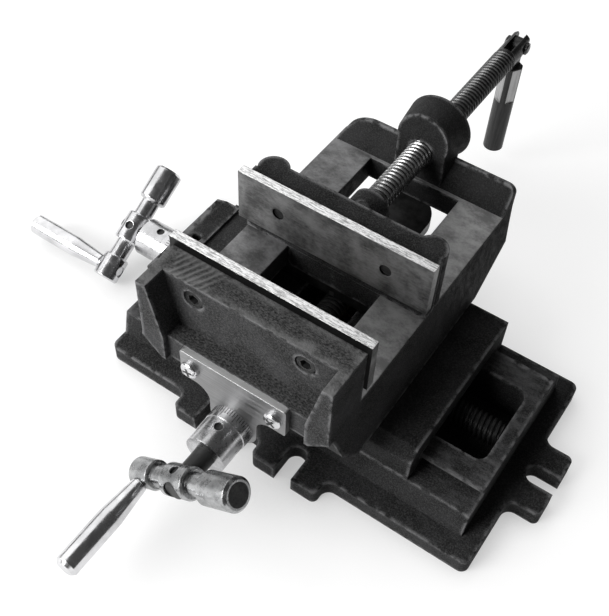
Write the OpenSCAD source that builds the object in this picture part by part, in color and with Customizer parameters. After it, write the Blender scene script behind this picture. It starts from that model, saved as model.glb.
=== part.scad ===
// Cross slide vise for a drill press table.
// Three castings slide on each other: the saddle moves along X on the base, the vise body moves
// along Y on the saddle, and the movable jaw runs on the body's rails, pushed by the clamp screw.
// +X runs along the jaws, +Y to the back, +Z up. The origin is on the underside of the base,
// midway between the clamping slots.

/* [Base] */
// Distance from the middle of the slots to the left end of the base
base_left = 88.5; // [86:0.5:95]
// Distance from the middle of the slots to the right end of the flange
base_right = 114.5; // [114:0.5:130]
// Distance from the middle to the front edge of the flange
base_front = 59.5; // [58:0.5:66]
// Distance from the middle to the back edge of the flange
base_back = 56.5; // [55:0.5:66]
// Thickness of the flange
flange_t = 9; // [7:0.5:11]
// Height of the ways above the table
way_h = 22.5; // [22.5:0.5:26]
// Bare flange beyond the right end of the ways
flange_end = 9; // [6:0.5:9]
// Draft of the way's walls, from foot to top
way_draft = 3; // [1:0.5:4]
// Width of the pocket between the ways
pocket_w = 45; // [44:1:48]
// Wall that closes the pocket at its right end
pocket_wall = 7; // [5:0.5:10]
// Thickness of the pocket's floor
pocket_floor = 6; // [4:0.5:6.5]

/* [Clamping slots] */
// Width of a slot
slot_w = 9.5; // [8:0.5:12]
// Distance between the two slots on one side
slot_pitch = 46; // [42:1:56]
// Width of each of the two lugs beside a slot
lug_w = 13.5; // [11:0.5:15]
// Reach of the side lugs beyond the flange
side_lug = 9.7; // [8:0.1:14]
// Depth of the side slots behind the flange's edge
slot_depth = 7; // [6:0.5:9]
// Reach of the end lugs beyond the flange
end_lug = 15.5; // [12:0.5:20]

/* [Slideways] */
// Width of each dovetail at its top
dovetail_w = 72; // [70:1:74]
// Height of each dovetail
dovetail_h = 7.2; // [6.6:0.2:7.4]
// Angle of the dovetail's flanks to the flat
dovetail_angle = 60; // [55:1:65]
// Thickness of the gib strips, square to the flank
gib_t = 3; // [2.5:0.25:3.5]
// Clearance between sliding flats
slide_gap = 0.1; // [0.05:0.05:0.2]

/* [Saddle] */
// Length of the saddle along X
saddle_l = 148; // [140:1:152]
// Width of the saddle and of the ways under it
saddle_w = 91; // [90:1:95]
// Height of the saddle's flat above the ways
saddle_h = 18.5; // [18.5:0.5:21]
// Chamfer along the saddle's front top edge
saddle_chamfer = 5.5; // [3:0.5:6]
// Length of the nose that carries the X screw's plate
nose_l = 9.8; // [9:0.1:12]
// Width of the nose
nose_w = 58; // [57:1:62]
// Width of the channel around the Y screw
channel_w = 28; // [27:0.5:30]

/* [Vise body] */
// Height of the rails above the saddle
rail_h = 28.6; // [28:0.2:31]
// Distance of the rails' inner edges from the middle
rail_in = 25.3; // [24.5:0.1:26]
// Distance of the rails' outer edges from the middle
rail_out = 48.2; // [47.5:0.1:50]
// Spread of the body's sides from the rails down to the saddle
side_flare = 5.5; // [4:0.5:7]
// Thickness of the rails at the well
rail_t = 12.6; // [11:0.2:13]
// Place of the fixed jaw's clamping face along Y
jaw_face_y = -45.5; // [-47:0.5:-45]
// Length of the rails from the clamping face to the rear housing
rail_l = 121; // [119:1:126]
// Height of the fixed jaw's casting above the rails
jaw_cast_h = 32.9; // [31:0.1:36]
// Thickness of the fixed jaw's casting
jaw_cast_t = 13; // [12:0.5:15]
// Depth of the ledge in front of the fixed jaw
ledge_d = 8.8; // [8:0.2:11]
// Height of that ledge above the rails
ledge_h = 2.6; // [1.6:0.2:4]
// Step from the ledge's face to the front of the end ribs
rib_step = 2.7; // [2:0.1:4]
// Thickness of the ribs at their top
rib_t = 5; // [4:0.5:7]
// Height of the rear wall above the rails
wall_h = 13.5; // [12:0.5:15]
// Distance from the end of the rails to the foot of the rear wall
wall_set = 2; // [1:0.5:4]
// Depth of the rear wall at its foot
wall_t = 10.5; // [9:0.5:13]
// Rounding of the rear wall's left corner
wall_round_l = 19; // [4:0.5:20]
// Rounding of the rear wall's right corner
wall_round_r = 4.5; // [3:0.5:11.5]
// Half width of the screw boss at its front
boss_r = 13.7; // [12.5:0.1:15]
// Half width of the screw boss at its back
boss_back_r = 17; // [16:0.5:19]
// Height of the boss above the clamp screw
boss_h = 21.6; // [20:0.1:25]
// Distance of the boss's front face behind the end of the rails
boss_set = 2; // [1:0.5:4]
// Distance of the boss's back face behind the end of the rails
boss_l = 19.5; // [17:0.5:24]

/* [Jaws] */
// Length of the jaw plates
plate_l = 100; // [98:1:110]
// Height of the jaw plates
plate_h = 28.3; // [26:0.1:30]
// Thickness of the jaw plates
plate_t = 4.5; // [4:0.1:6]
// Height of the jaw plates' lower edge above the rails
plate_lift = 9.1; // [7:0.1:10]
// Opening between the jaw plates as shown
jaw_open = 43.2; // [43.2:0.1:46]
// Distance between the two screws of a jaw plate
jaw_screw_pitch = 56; // [50:1:56]
// Thickness of the movable jaw's casting
mov_t = 14.3; // [13:0.1:16]
// Length of the movable jaw's casting
mov_l = 97; // [97:0.5:100]
// Radius of the round ears at the ends of the movable jaw
ear_r = 7.5; // [7:0.25:7.5]
// Length of the screw boss behind the movable jaw
mov_boss_l = 16.5; // [15:0.5:17]
// Reach of the keeper plate's tail behind the movable jaw
keeper_tail = 63.4; // [50:0.2:65]
// Thickness of the keeper plate
keeper_t = 6; // [5.5:0.25:6.5]

/* [Clamp screw] */
// Diameter of the clamp screw
clamp_d = 12.5; // [12:0.5:14]
// Height of the clamp screw above the rails
clamp_h = 16.7; // [16:0.1:18]
// Length of thread behind the movable jaw's boss
clamp_l = 132.5; // [130:0.5:146]
// Distance from the thread to the handle's pin
fork_l = 15.5; // [15:0.5:18]
// Thickness of the handle's tongue in the screw's fork
tongue_t = 4.5; // [4:0.25:5]
// Length of the handle below its pin
handle_l = 72.5; // [66:0.5:80]
// Diameter of the handle
handle_d = 11.5; // [11:0.5:12.5]
// Length of the handle's tongue below its pin
tongue_l = 13; // [13:0.5:18]
// Distance from the pin to the lower end of the handle's flats
flats_l = 36; // [28:1:40]
// Width across the handle's flats
flats_w = 10; // [9.6:0.2:10.6]

/* [Feed screws and cranks] */
// Diameter of the two lead screws
lead_d = 13; // [12:0.5:13.5]
// Depth of the screws' axes under the slideway they drive
lead_drop = 1.5; // [1:0.25:1.5]
// Diameter of the plain shaft that carries dial and crank
shaft_d = 10; // [9:0.5:10.5]
// Distance from the end of the X screw to the end of the pocket as shown
x_lead_gap = 1; // [0.5:0.5:6]
// Length of the Y screw behind its plate
y_lead_l = 158; // [150:1:162]
// Thickness of the bearing plates
bearing_t = 3; // [2.5:0.25:4]
// Width of the bearing plates
bearing_w = 55; // [52:1:56]
// Height of the wide part of the X bearing plate
x_bearing_h = 10; // [10:0.5:12]
// Height of the wide part of the Y bearing plate
y_bearing_h = 17.5; // [14:0.5:18]
// Half width of the tongue of the bearing plates
bearing_r = 12.5; // [11:0.5:13]
// Distance between the two screws of a bearing plate
bearing_pitch = 43.4; // [40:0.2:44]
// Diameter of the graduated dials
dial_d = 21; // [19:0.5:23]
// Length of the dials
dial_l = 20; // [16:0.5:20.5]
// Distance from the X bearing plate to its dial
x_dial_gap = 6.5; // [0:0.5:6.5]
// Distance from the bearing plate to the crank's arm
crank_out = 35.5; // [34:0.5:40]
// Distance from the screw's axis to the crank's handle
crank_r = 23.8; // [21:0.1:23.8]
// Diameter of the arm's end that carries the handle
tip_d = 13.5; // [13:0.25:13.5]
// Length of that end beyond the handle's axis
tip_out = 6.7; // [6:0.1:6.7]
// Reach of the crank's counterweight
weight_r = 36.5; // [32:0.5:37]
// Diameter of the counterweight
weight_d = 15; // [13:0.25:16]
// Diameter of the crank's hub
hub_d = 14.5; // [14:0.25:16]
// Length of the crank's hub along the arm
hub_l = 16; // [14:0.5:18]
// Diameter of the crank's arm between hub and ends
neck_d = 10; // [8:0.25:11]
// Length of the crank handles from the arm
grip_l = 54; // [45:1:60]
// Diameter of the crank handles
grip_d = 11; // [9:0.25:13]
// Tilt of the Y crank's arm as shown
y_crank_tilt = 35; // [0:1:80]
// Tilt of the X crank's arm as shown
x_crank_tilt = 29; // [0:1:29]

/* [Hidden] */
$fn = 64;

// Clearances
run_gap = 0.05;
fit_gap = 0.02;
thread_gap = 0.1;
roof_gap = 0.3;
chase_gap = 1;
end_gap = 0.3;
lap = 0.5;

// Heights
saddle_top = way_h + saddle_h;
groove_roof = way_h + dovetail_h + roof_gap;
x_axis_z = way_h - lead_drop;
y_axis_z = saddle_top - lead_drop;
channel_z = y_axis_z - lead_d / 2 - chase_gap;
rail_top = saddle_top + rail_h;
well_z = rail_top - rail_t;
jaw_top = rail_top + jaw_cast_h;
ledge_z = rail_top + ledge_h;
plate_z = rail_top + plate_lift;
jaw_screw_z = plate_z + plate_h / 2;
clamp_z = rail_top + clamp_h;
keel_z = well_z - slide_gap;
boss_top = clamp_z + boss_h;

// Places along X
way_right = base_right - flange_end;
pocket_right = way_right - pocket_wall;
nose_x = -saddle_l / 2 - nose_l;
x_plate_x = nose_x - bearing_t;
x_lead_l = pocket_right - x_lead_gap - x_plate_x;

// Places along Y
base_mid_y = (base_back - base_front) / 2;
cast_y = jaw_face_y - plate_t;
recess_y = cast_y - jaw_cast_t;
ledge_y = recess_y - ledge_d;
rib_y = ledge_y - rib_step;
y_plate_y = ledge_y - bearing_t;
rail_end_y = jaw_face_y + rail_l;
wall_y = rail_end_y + wall_set;
mov_y = jaw_face_y + jaw_open;
mov_front_y = mov_y + plate_t;
mov_back_y = mov_front_y + mov_t;
mov_end_y = mov_back_y + mov_boss_l;

// Bearing plates: height of the wide part's middle above the screw
plate_edge = 0.4;
lip_t = 1.8;
x_plate_c = groove_roof + plate_edge + x_bearing_h / 2 - x_axis_z;
y_plate_c = ledge_z - plate_edge - y_bearing_h / 2 - y_axis_z;
nose_top = groove_roof + x_bearing_h + 2 * plate_edge + lip_t;

// Dovetails and gibs
flank = dovetail_h / tan(dovetail_angle);
gib_out = slide_gap + gib_t / sin(dovetail_angle);
x_gib_pitch = 45;
y_gib_pitch = 30;
y_gib_mid = 2;
gib_screw_r = 2.5;
gib_tip_r = 1;

// Underside of the vise body: flat between these places, rising beyond them
body_flat_y0 = jaw_face_y;
body_flat_y1 = rail_end_y - 26;

// End ribs of the fixed jaw: inner edge at the ledge and height of the outer bottom corner
rib_in = 36.5;
rib_foot_z = well_z + 9.5;

// Nuts of the lead screws
nut_l = 22;
nut_w = 26;
nut_cap = 1.25;
nut_screw_r = 2;
nut_head_r = 3;
nut_head_h = 2.5;
nut_screw_at = 9.8;
x_nut_x = 8;
y_nut_y = -saddle_w / 2 + 12.5;
y_nut_screw_dy = -6.5;

// Fasteners
cap_r = 3;
cap_head_r = 5;
cap_head_h = 6;
cap_sink = cap_head_h + 0.4;
cap_tip = 1;
pan_r = 2.5;
pan_head_r = 4.4;
pan_head_h = 3;
pan_bite = 9;
grub_r = 2;
pin_r = 2.2;
pin_sink = 1.5;
rivet_r = 2.5;
fork_x = 4.9;
keeper_screw_dy = [5, 22];

// Distance of a dovetail's flank from its middle at height h above the slideway
function flank_at(h) = dovetail_w / 2 - flank + h / tan(dovetail_angle);

// Extrudes a Y-Z outline along X from x0 to x1
module along_x(x0, x1) {
    translate([x0, 0, 0]) rotate([90, 0, 90]) linear_extrude(x1 - x0) children();
}

// Extrudes an X-Z outline along Y from y0 to y1
module along_y(y0, y1) {
    translate([0, y1, 0]) rotate([90, 0, 0]) linear_extrude(y1 - y0) children();
}

// Cylinder along +X from x0 to x1
module rod_x(x0, x1, r) {
    translate([x0, 0, 0]) rotate([0, 90, 0]) cylinder(r = r, h = x1 - x0);
}

// Cylinder along +Y from y0 to y1
module rod_y(y0, y1, r) {
    translate([0, y0, 0]) rotate([-90, 0, 0]) cylinder(r = r, h = y1 - y0);
}

// Rectangle centred on the origin with round corners
module round_rect(w, h, r) {
    square([w - 2 * r, h], center = true);
    square([w, h - 2 * r], center = true);
    for (sx = [-1, 1], sy = [-1, 1])
        translate([sx * (w / 2 - r), sy * (h / 2 - r)]) circle(r);
}

// Fillet that fills an inner corner at the origin, in the first quadrant
module corner_fillet(r) {
    difference() {
        translate([-lap, -lap]) square(r + lap);
        translate([r, r]) circle(r);
    }
}

// Block with a round top of radius r, standing between z0 and top
module arch(z0, top, r) {
    translate([-r, z0]) square([2 * r, top - r - z0]);
    translate([0, top - r]) circle(r);
}

// Male dovetail outline on the slideway at z0
module dovetail(z0) {
    foot = flank_at(0);
    head = dovetail_w / 2;
    polygon([[-foot, z0 - lap], [foot, z0 - lap], [foot, z0], [head, z0 + dovetail_h],
        [-head, z0 + dovetail_h], [-foot, z0]]);
}

// Groove for that dovetail, with room for the gib on the positive side
module dovetail_groove(z0) {
    foot = flank_at(0);
    head = dovetail_w / 2;
    roof = z0 + dovetail_h + roof_gap;
    polygon([[-foot - slide_gap, z0 - 1], [foot + gib_out, z0 - 1], [foot + gib_out, z0],
        [head + gib_out, z0 + dovetail_h], [head + gib_out, roof], [-head - slide_gap, roof],
        [-head - slide_gap, z0 + dovetail_h], [-foot - slide_gap, z0]]);
}

// Gib strip that fills that room
module gib_outline(z0) {
    low = flank_at(slide_gap);
    head = dovetail_w / 2;
    polygon([[low + slide_gap, z0 + slide_gap], [low + gib_out, z0 + slide_gap],
        [head + gib_out, z0 + dovetail_h], [head + slide_gap, z0 + dovetail_h]]);
}

// Pointed adjusting screw along +X, from the gib's back to the outside of the casting
module gib_screw(outside) {
    seat = flank_at(dovetail_h / 2) + gib_out + gib_tip_r / tan(dovetail_angle);
    point = gib_screw_r - gib_tip_r;
    translate([seat, 0, 0]) rotate([0, 90, 0]) cylinder(r1 = gib_tip_r, r2 = gib_screw_r, h = point);
    rod_x(seat + point, outside, gib_screw_r);
}

// Threaded hole for it
module gib_screw_hole(outside) {
    rod_x(flank_at(dovetail_h / 2), outside + 5, gib_screw_r + fit_gap);
}

// Base

// Pair of lugs beside one slot, with its root at y = 0 and its tips towards -Y
module lug_pair(reach) {
    pair_w = 2 * lug_w + slot_w;
    tip_r = 3;
    root_r = 5;
    translate([0, (root_r - reach) / 2]) round_rect(pair_w, reach + root_r, tip_r);
    for (side = [0, 1])
        mirror([side, 0]) translate([pair_w / 2, 0]) mirror([0, 1]) corner_fillet(root_r);
}

// Slot open towards -Y, with its round end at the given depth behind y = 0
module slot_cut(reach, depth) {
    translate([-slot_w / 2, -reach - 1]) square([slot_w, reach + 1 + depth - slot_w / 2]);
    translate([0, depth - slot_w / 2]) circle(slot_w / 2);
}

// Repeats children at the slots of the front and back edges
module at_side_slots() {
    for (sx = [-1, 1]) {
        translate([sx * slot_pitch / 2, -base_front]) children();
        translate([sx * slot_pitch / 2, base_back]) rotate(180) children();
    }
}

module flange_outline() {
    corner_r = 4;
    difference() {
        union() {
            translate([(base_right - base_left) / 2, base_mid_y])
                round_rect(base_left + base_right, base_front + base_back, corner_r);
            at_side_slots() lug_pair(side_lug);
            translate([base_right, base_mid_y]) rotate(90) lug_pair(end_lug);
        }
        at_side_slots() slot_cut(side_lug, slot_depth);
        translate([base_right, base_mid_y]) rotate(90) slot_cut(end_lug, 0);
    }
}

module base_casting() {
    foot = saddle_w / 2 + way_draft;
    pocket_r = 5;
    color("#2b2c2e") difference() {
        union() {
            linear_extrude(flange_t) flange_outline();
            along_x(-base_left, way_right)
                polygon([[-foot, flange_t - lap], [foot, flange_t - lap], [foot, flange_t],
                    [saddle_w / 2, way_h], [-saddle_w / 2, way_h], [-foot, flange_t]]);
            along_x(-base_left, way_right) dovetail(way_h);
        }
        translate([0, 0, pocket_floor]) linear_extrude(way_h + dovetail_h) {
            translate([-base_left - 1, -pocket_w / 2])
                square([base_left + 1 + pocket_right - pocket_r, pocket_w]);
            translate([pocket_right - 2 * pocket_r, 0])
                round_rect(4 * pocket_r, pocket_w, pocket_r);
        }
        translate([x_nut_x, 0, pocket_floor]) nut_screw_pair(nut_screw_r + fit_gap, -pocket_floor + 1, 1);
    }
}

// Two upright cylinders beside a lead screw that runs along X
module nut_screw_pair(r, z0, z1) {
    for (s = [-1, 1])
        translate([0, s * nut_screw_at, z0]) cylinder(r = r, h = z1 - z0);
}

// Nut block for a lead screw that runs along X at axis_z; its screws stand at screw_dx
module nut_block(z0, axis_z, screw_dx) {
    top = axis_z + lead_d / 2 + thread_gap + nut_cap;
    difference() {
        translate([-nut_l / 2, -nut_w / 2, z0]) cube([nut_l, nut_w, top - z0]);
        translate([0, 0, axis_z]) rod_x(-nut_l, nut_l, lead_d / 2 + thread_gap);
        translate([screw_dx, 0, 0]) {
            nut_screw_pair(nut_screw_r + fit_gap, z0 - 1, top + 1);
            nut_screw_pair(nut_head_r + fit_gap, top - nut_head_h, top + 1);
        }
    }
}

// The two screws that hold a nut block down, reaching down to z0
module nut_screws(z0, axis_z, screw_dx) {
    top = axis_z + lead_d / 2 + thread_gap + nut_cap;
    translate([screw_dx, 0, 0]) {
        nut_screw_pair(nut_screw_r, z0, top - nut_head_h + lap);
        nut_screw_pair(nut_head_r, top - nut_head_h, top);
    }
}

module x_nut() {
    color("#b08d57") translate([x_nut_x, 0, 0]) nut_block(pocket_floor, x_axis_z, 0);
}

module x_nut_screws() {
    color("#55585c") translate([x_nut_x, 0, 0]) nut_screws(1 + end_gap, x_axis_z, 0);
}

// Saddle

// Plan of the nose up to the given end, with its back corner cut
module nose_outline(end) {
    root = lap - saddle_l / 2;
    cut = 5;
    polygon([[root, -nose_w / 2], [root, nose_w / 2], [end + cut, nose_w / 2],
        [end, bearing_w / 2], [end, -nose_w / 2]]);
}

module saddle_casting() {
    half = saddle_w / 2;
    window = 60;
    oil_r = 2.5;
    color("#2b2c2e") difference() {
        union() {
            along_x(-saddle_l / 2, saddle_l / 2)
                polygon([[-half, way_h], [half, way_h], [half, saddle_top],
                    [saddle_chamfer - half, saddle_top], [-half, saddle_top - saddle_chamfer]]);
            translate([0, 0, groove_roof - lap]) linear_extrude(nose_top - groove_roof + lap)
                nose_outline(nose_x);
            translate([0, 0, nose_top - lip_t]) linear_extrude(lip_t) nose_outline(x_plate_x);
            along_y(saddle_chamfer - half, half) dovetail(saddle_top);
        }
        along_x(nose_x - 1, saddle_l / 2 + 1) dovetail_groove(way_h);
        translate([-channel_w / 2, -half - 1, channel_z]) cube([channel_w, saddle_w + 2, saddle_w]);
        translate([-channel_w / 2, -window / 2, way_h]) cube([channel_w, window, saddle_w]);
        y_nut_place()
            translate([y_nut_screw_dy, 0, 0])
                nut_screw_pair(nut_screw_r + fit_gap, way_h + 2, channel_z + 1);
        for (at = [-x_gib_pitch, 0, x_gib_pitch])
            x_gib_place(at) gib_screw_hole(half);
        on_x_axis() plate_screw_pair(1, x_plate_c, pan_r + fit_gap, 0, bearing_t + pan_bite + 1);
        translate([nose_x + nose_l / 2, 0, nose_top - 6]) cylinder(r = oil_r, h = 10);
    }
}

// Puts a screw modelled along +X square to the back gib of the saddle
module x_gib_place(at) {
    translate([at, 0, way_h + dovetail_h / 2]) rotate(90) children();
}

module x_gib() {
    color("#8f9296") along_x(1 - saddle_l / 2, saddle_l / 2 - 1) gib_outline(way_h);
}

module x_gib_screws() {
    color("#55585c") for (at = [-x_gib_pitch, 0, x_gib_pitch])
        x_gib_place(at) gib_screw(saddle_w / 2 - lap);
}

// Turns a nut modelled along X so that it runs along Y at its place on the saddle
module y_nut_place() {
    translate([0, y_nut_y, 0]) rotate(90) children();
}

module y_nut() {
    color("#b08d57") y_nut_place() nut_block(channel_z, y_axis_z, y_nut_screw_dy);
}

module y_nut_screws() {
    color("#55585c") y_nut_place() nut_screws(way_h + 2 + end_gap, y_axis_z, y_nut_screw_dy);
}

// Lead screws, dials and cranks
// They are modelled along +Z with the outer face of the bearing plate at z = 0 and the crank
// below it. up is the sign of the local Y axis that points upwards in the vise.

module on_x_axis() {
    translate([x_plate_x, 0, x_axis_z]) rotate([90, 0, 90]) children();
}

module on_y_axis() {
    translate([0, y_plate_y, y_axis_z]) rotate([-90, 0, 0]) children();
}

module lead_screw(up, tilt, length) {
    shaft_end = crank_out + hub_d / 2 - 1;
    chamfer = 1.5;
    difference() {
        union() {
            translate([0, 0, -shaft_end]) cylinder(d = shaft_d, h = shaft_end + bearing_t + 1);
            translate([0, 0, bearing_t + slide_gap])
                cylinder(d = lead_d, h = length - bearing_t - slide_gap - chamfer);
            translate([0, 0, length - chamfer])
                cylinder(d1 = lead_d, d2 = lead_d - 2 * chamfer, h = chamfer);
        }
        crank_place(up, tilt) rotate([90, 0, 0]) cylinder(r = pin_r + fit_gap, h = hub_d * 2, center = true);
    }
}

module dial(up) {
    rim_l = 6;
    step = 0.4;
    difference() {
        union() {
            translate([0, 0, -rim_l - slide_gap]) cylinder(d = dial_d, h = rim_l);
            translate([0, 0, -dial_l - slide_gap])
                cylinder(d = dial_d - 2 * step, h = dial_l - rim_l + step);
        }
        translate([0, 0, -dial_l - 1]) cylinder(d = shaft_d + 2 * fit_gap, h = dial_l + 2);
        translate([0, 0, -dial_l / 2]) rotate([-90 * up, 0, 0])
            cylinder(r = grub_r + fit_gap, h = dial_d);
    }
}

module dial_setscrew(up) {
    translate([0, 0, -dial_l / 2]) rotate([-90 * up, 0, 0])
        translate([0, 0, shaft_d / 2 + 2 * fit_gap]) cylinder(r = grub_r, h = (dial_d - shaft_d) / 2 - 1.5);
}

// Puts children in the crank's own frame: the arm along X, with the counterweight at +X
module crank_place(up, tilt) {
    translate([0, 0, -crank_out]) rotate(up * tilt) children();
}

// Cylinder along the arm with chamfered ends
module arm_barrel(x0, x1, d, chamfer) {
    translate([x0, 0, 0]) rotate([0, 90, 0]) {
        cylinder(d1 = d - 2 * chamfer, d2 = d, h = chamfer);
        translate([0, 0, chamfer]) cylinder(d = d, h = x1 - x0 - 2 * chamfer);
        translate([0, 0, x1 - x0 - chamfer]) cylinder(d1 = d, d2 = d - 2 * chamfer, h = chamfer);
    }
}

module crank_arm(up, tilt) {
    weight_l = 19.5;
    crank_place(up, tilt) difference() {
        union() {
            arm_barrel(-hub_l / 2, hub_l / 2, hub_d, 0.8);
            arm_barrel(-crank_r - tip_out, tip_out - crank_r, tip_d, 0.8);
            rod_x(-crank_r, weight_r - weight_l + 2, neck_d / 2);
            arm_barrel(weight_r - weight_l, weight_r, weight_d, 1.2);
        }
        cylinder(d = shaft_d + 2 * fit_gap, h = 2 * hub_d, center = true);
        translate([-crank_r, 0, -tip_d]) cylinder(r = cap_r + fit_gap, h = 2 * tip_d);
        rotate([90, 0, 0]) cylinder(r = pin_r + fit_gap, h = 2 * hub_d, center = true);
    }
}

module crank_pin(up, tilt) {
    crank_place(up, tilt) rotate([90, 0, 0]) cylinder(r = pin_r, h = hub_d - 2 * pin_sink, center = true);
}

// Taper handle that stands on the arm's end, with a spigot through it
module crank_handle(up, tilt) {
    seat = tip_d / 2;
    full = seat + 0.34 * grip_l;
    neck = 0.68 * grip_d / 2;
    chamfer = 1.5;
    crank_place(up, tilt) translate([-crank_r, 0, 0]) mirror([0, 0, 1]) {
        translate([0, 0, 1 - seat]) cylinder(r = cap_r, h = 2 * seat);
        translate([0, 0, seat + fit_gap]) cylinder(r1 = neck, r2 = grip_d / 2, h = full - seat - fit_gap);
        translate([0, 0, full]) cylinder(d = grip_d, h = grip_l - full - chamfer);
        translate([0, 0, grip_l - chamfer])
            cylinder(d1 = grip_d, d2 = grip_d - 2 * chamfer, h = chamfer);
    }
}

module x_lead_screw() {
    color("#7d8084") on_x_axis() lead_screw(1, x_crank_tilt, x_lead_l);
}

module y_lead_screw() {
    color("#7d8084") on_y_axis() lead_screw(-1, y_crank_tilt, y_lead_l);
}

module x_dial() {
    color("#d4d6d9") on_x_axis() translate([0, 0, -x_dial_gap]) dial(1);
}

module y_dial() {
    color("#d4d6d9") on_y_axis() dial(-1);
}

module x_dial_setscrew() {
    color("#3a3c3f") on_x_axis() translate([0, 0, -x_dial_gap]) dial_setscrew(1);
}

module y_dial_setscrew() {
    color("#3a3c3f") on_y_axis() dial_setscrew(-1);
}

module x_crank_arm() {
    color("#d4d6d9") on_x_axis() crank_arm(1, x_crank_tilt);
}

module y_crank_arm() {
    color("#d4d6d9") on_y_axis() crank_arm(-1, y_crank_tilt);
}

module x_crank_handle() {
    color("#d4d6d9") on_x_axis() crank_handle(1, x_crank_tilt);
}

module y_crank_handle() {
    color("#d4d6d9") on_y_axis() crank_handle(-1, y_crank_tilt);
}

module x_crank_pin() {
    color("#8f9296") on_x_axis() crank_pin(1, x_crank_tilt);
}

module y_crank_pin() {
    color("#8f9296") on_y_axis() crank_pin(-1, y_crank_tilt);
}

// Bearing plate with a wide part of height h whose middle is c above the screw
module bearing_plate(up, c, h) {
    low = c - h / 2;
    shoulder_r = min(8, low - 0.5);
    edge_r = 1;
    mirror([0, up < 0 ? 1 : 0, 0]) difference() {
        linear_extrude(bearing_t) {
            translate([0, c]) round_rect(bearing_w, h, edge_r);
            circle(bearing_r);
            translate([-bearing_r, 0]) square([2 * bearing_r, c]);
            for (side = [0, 1])
                mirror([side, 0]) translate([bearing_r, low]) mirror([0, 1]) corner_fillet(shoulder_r);
        }
        translate([0, 0, -1]) cylinder(r = shaft_d / 2 + run_gap, h = bearing_t + 2);
        plate_screw_pair(1, c, pan_r + fit_gap, -1, bearing_t + 1);
    }
}

// Two cylinders at the screws of a bearing plate
module plate_screw_pair(up, c, r, z0, z1) {
    for (s = [-1, 1])
        translate([s * bearing_pitch / 2, up * c, z0]) cylinder(r = r, h = z1 - z0);
}

module plate_screws(up, c) {
    plate_screw_pair(up, c, pan_head_r, -pan_head_h, 0);
    plate_screw_pair(up, c, pan_r, -lap, bearing_t + pan_bite);
}

module x_bearing_plate() {
    color("#c9ccd0") on_x_axis() bearing_plate(1, x_plate_c, x_bearing_h);
}

module y_bearing_plate() {
    color("#c9ccd0") on_y_axis() bearing_plate(-1, y_plate_c, y_bearing_h);
}

module x_plate_screws() {
    color("#d4d6d9") on_x_axis() plate_screws(1, x_plate_c);
}

module y_plate_screws() {
    color("#d4d6d9") on_y_axis() plate_screws(-1, y_plate_c);
}

// Vise body

// Outline of one side wall across the body, rail lip and dovetail groove still uncut
module side_section() {
    polygon([[rail_in, rail_top], [rail_out, rail_top], [rail_out + side_flare, saddle_top],
        [rail_in, saddle_top]]);
}

// Side view of the body below the rails
module side_view() {
    polygon([[ledge_y, rail_top], [ledge_y, rib_foot_z], [ledge_y + 4.5, saddle_top + 10],
        [ledge_y + 13, saddle_top], [body_flat_y1, saddle_top], [rail_end_y + 6, saddle_top + 11],
        [wall_y + wall_t - 3.5, rail_top - 9], [wall_y + wall_t, rail_top]]);
}

// Outline of one end rib of the fixed jaw, seen from the front
module rib_outline() {
    slope = (rail_top - rib_foot_z) / rail_h * side_flare;
    polygon([[rail_out, jaw_top], [rail_out - rib_t, jaw_top], [rib_in, ledge_z], [rib_in, well_z],
        [rib_in + 2, well_z], [rail_out + slope, rib_foot_z], [rail_out, rail_top]]);
}

// Rear wall above the rails, seen from the front, with its two top corners rounded
module wall_outline() {
    top = rail_top + wall_h;
    difference() {
        translate([-rail_out, rail_top - lap]) square([2 * rail_out, wall_h + lap]);
        translate([-rail_out, top]) mirror([0, 1]) corner_fillet(wall_round_l);
        translate([rail_out, top]) rotate(180) corner_fillet(wall_round_r);
    }
}

// Rear wall in side view: it leans back from its foot
module wall_profile() {
    back = wall_y + wall_t;
    polygon([[wall_y, rail_top - lap], [wall_y, rail_top], [back - 1.5, rail_top + wall_h],
        [back, rail_top + wall_h], [back, rail_top - lap]]);
}

// Round boss for the clamp screw: a cone with a level top, on a block that stands on the body
module screw_boss() {
    y0 = rail_end_y + boss_set;
    y1 = rail_end_y + boss_l;
    grow = (boss_back_r - boss_r) / (y1 - y0);
    tilt = atan(grow);
    length = (y1 - y0) / cos(tilt);
    over = 6;
    half = boss_r - 0.5;
    half_back = half + grow * (wall_y + wall_t - y0);
    intersection() {
        translate([0, y0, boss_top - boss_r]) rotate([-90 - tilt, 0, 0]) translate([0, 0, -over])
            cylinder(r1 = boss_r - over * grow, r2 = boss_r + (length + over) * grow, h = length + 2 * over);
        translate([-rail_out, y0, well_z]) cube([2 * rail_out, y1 - y0, boss_top]);
    }
    translate([0, 0, well_z]) linear_extrude(boss_top - boss_back_r - well_z)
        polygon([[-half, y0], [half, y0], [half_back, wall_y + wall_t], [-half_back, wall_y + wall_t]]);
}

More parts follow.
